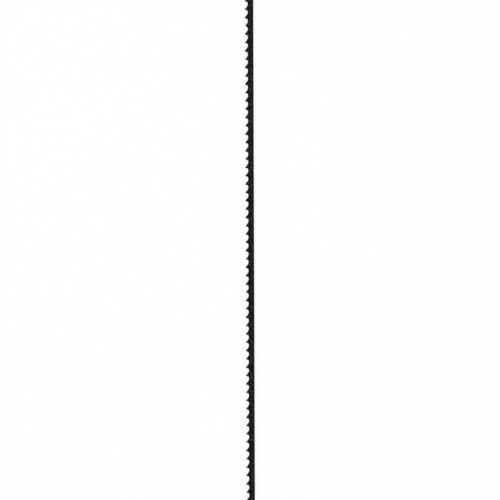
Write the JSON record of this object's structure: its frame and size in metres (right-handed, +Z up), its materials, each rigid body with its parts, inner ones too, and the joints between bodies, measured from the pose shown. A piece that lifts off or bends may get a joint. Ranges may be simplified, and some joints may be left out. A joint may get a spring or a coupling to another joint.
{
  "type": "scroll saw blade",
  "caption": "Thin flat plain-end blade for a scroll saw, with fine pointed teeth set in turn to either side along one edge and bare ends for clamping.",
  "frame": {"origin": "under the middle of the blade, on the surface that it lies on, which the points of the teeth that lean down touch", "axes": "+Y along the blade, away from the way the teeth point and cut; +X from the teeth to the back; +Z up, square to the flat sides"},
  "size_m": [0.0018, 0.127, 0.0007],
  "materials": {
    "blackened_steel": "black oxide over cold-rolled and milled steel"
  },
  "bodies": {
    "root": {"blade": "blackened_steel"}
  },
  "joints": []
}
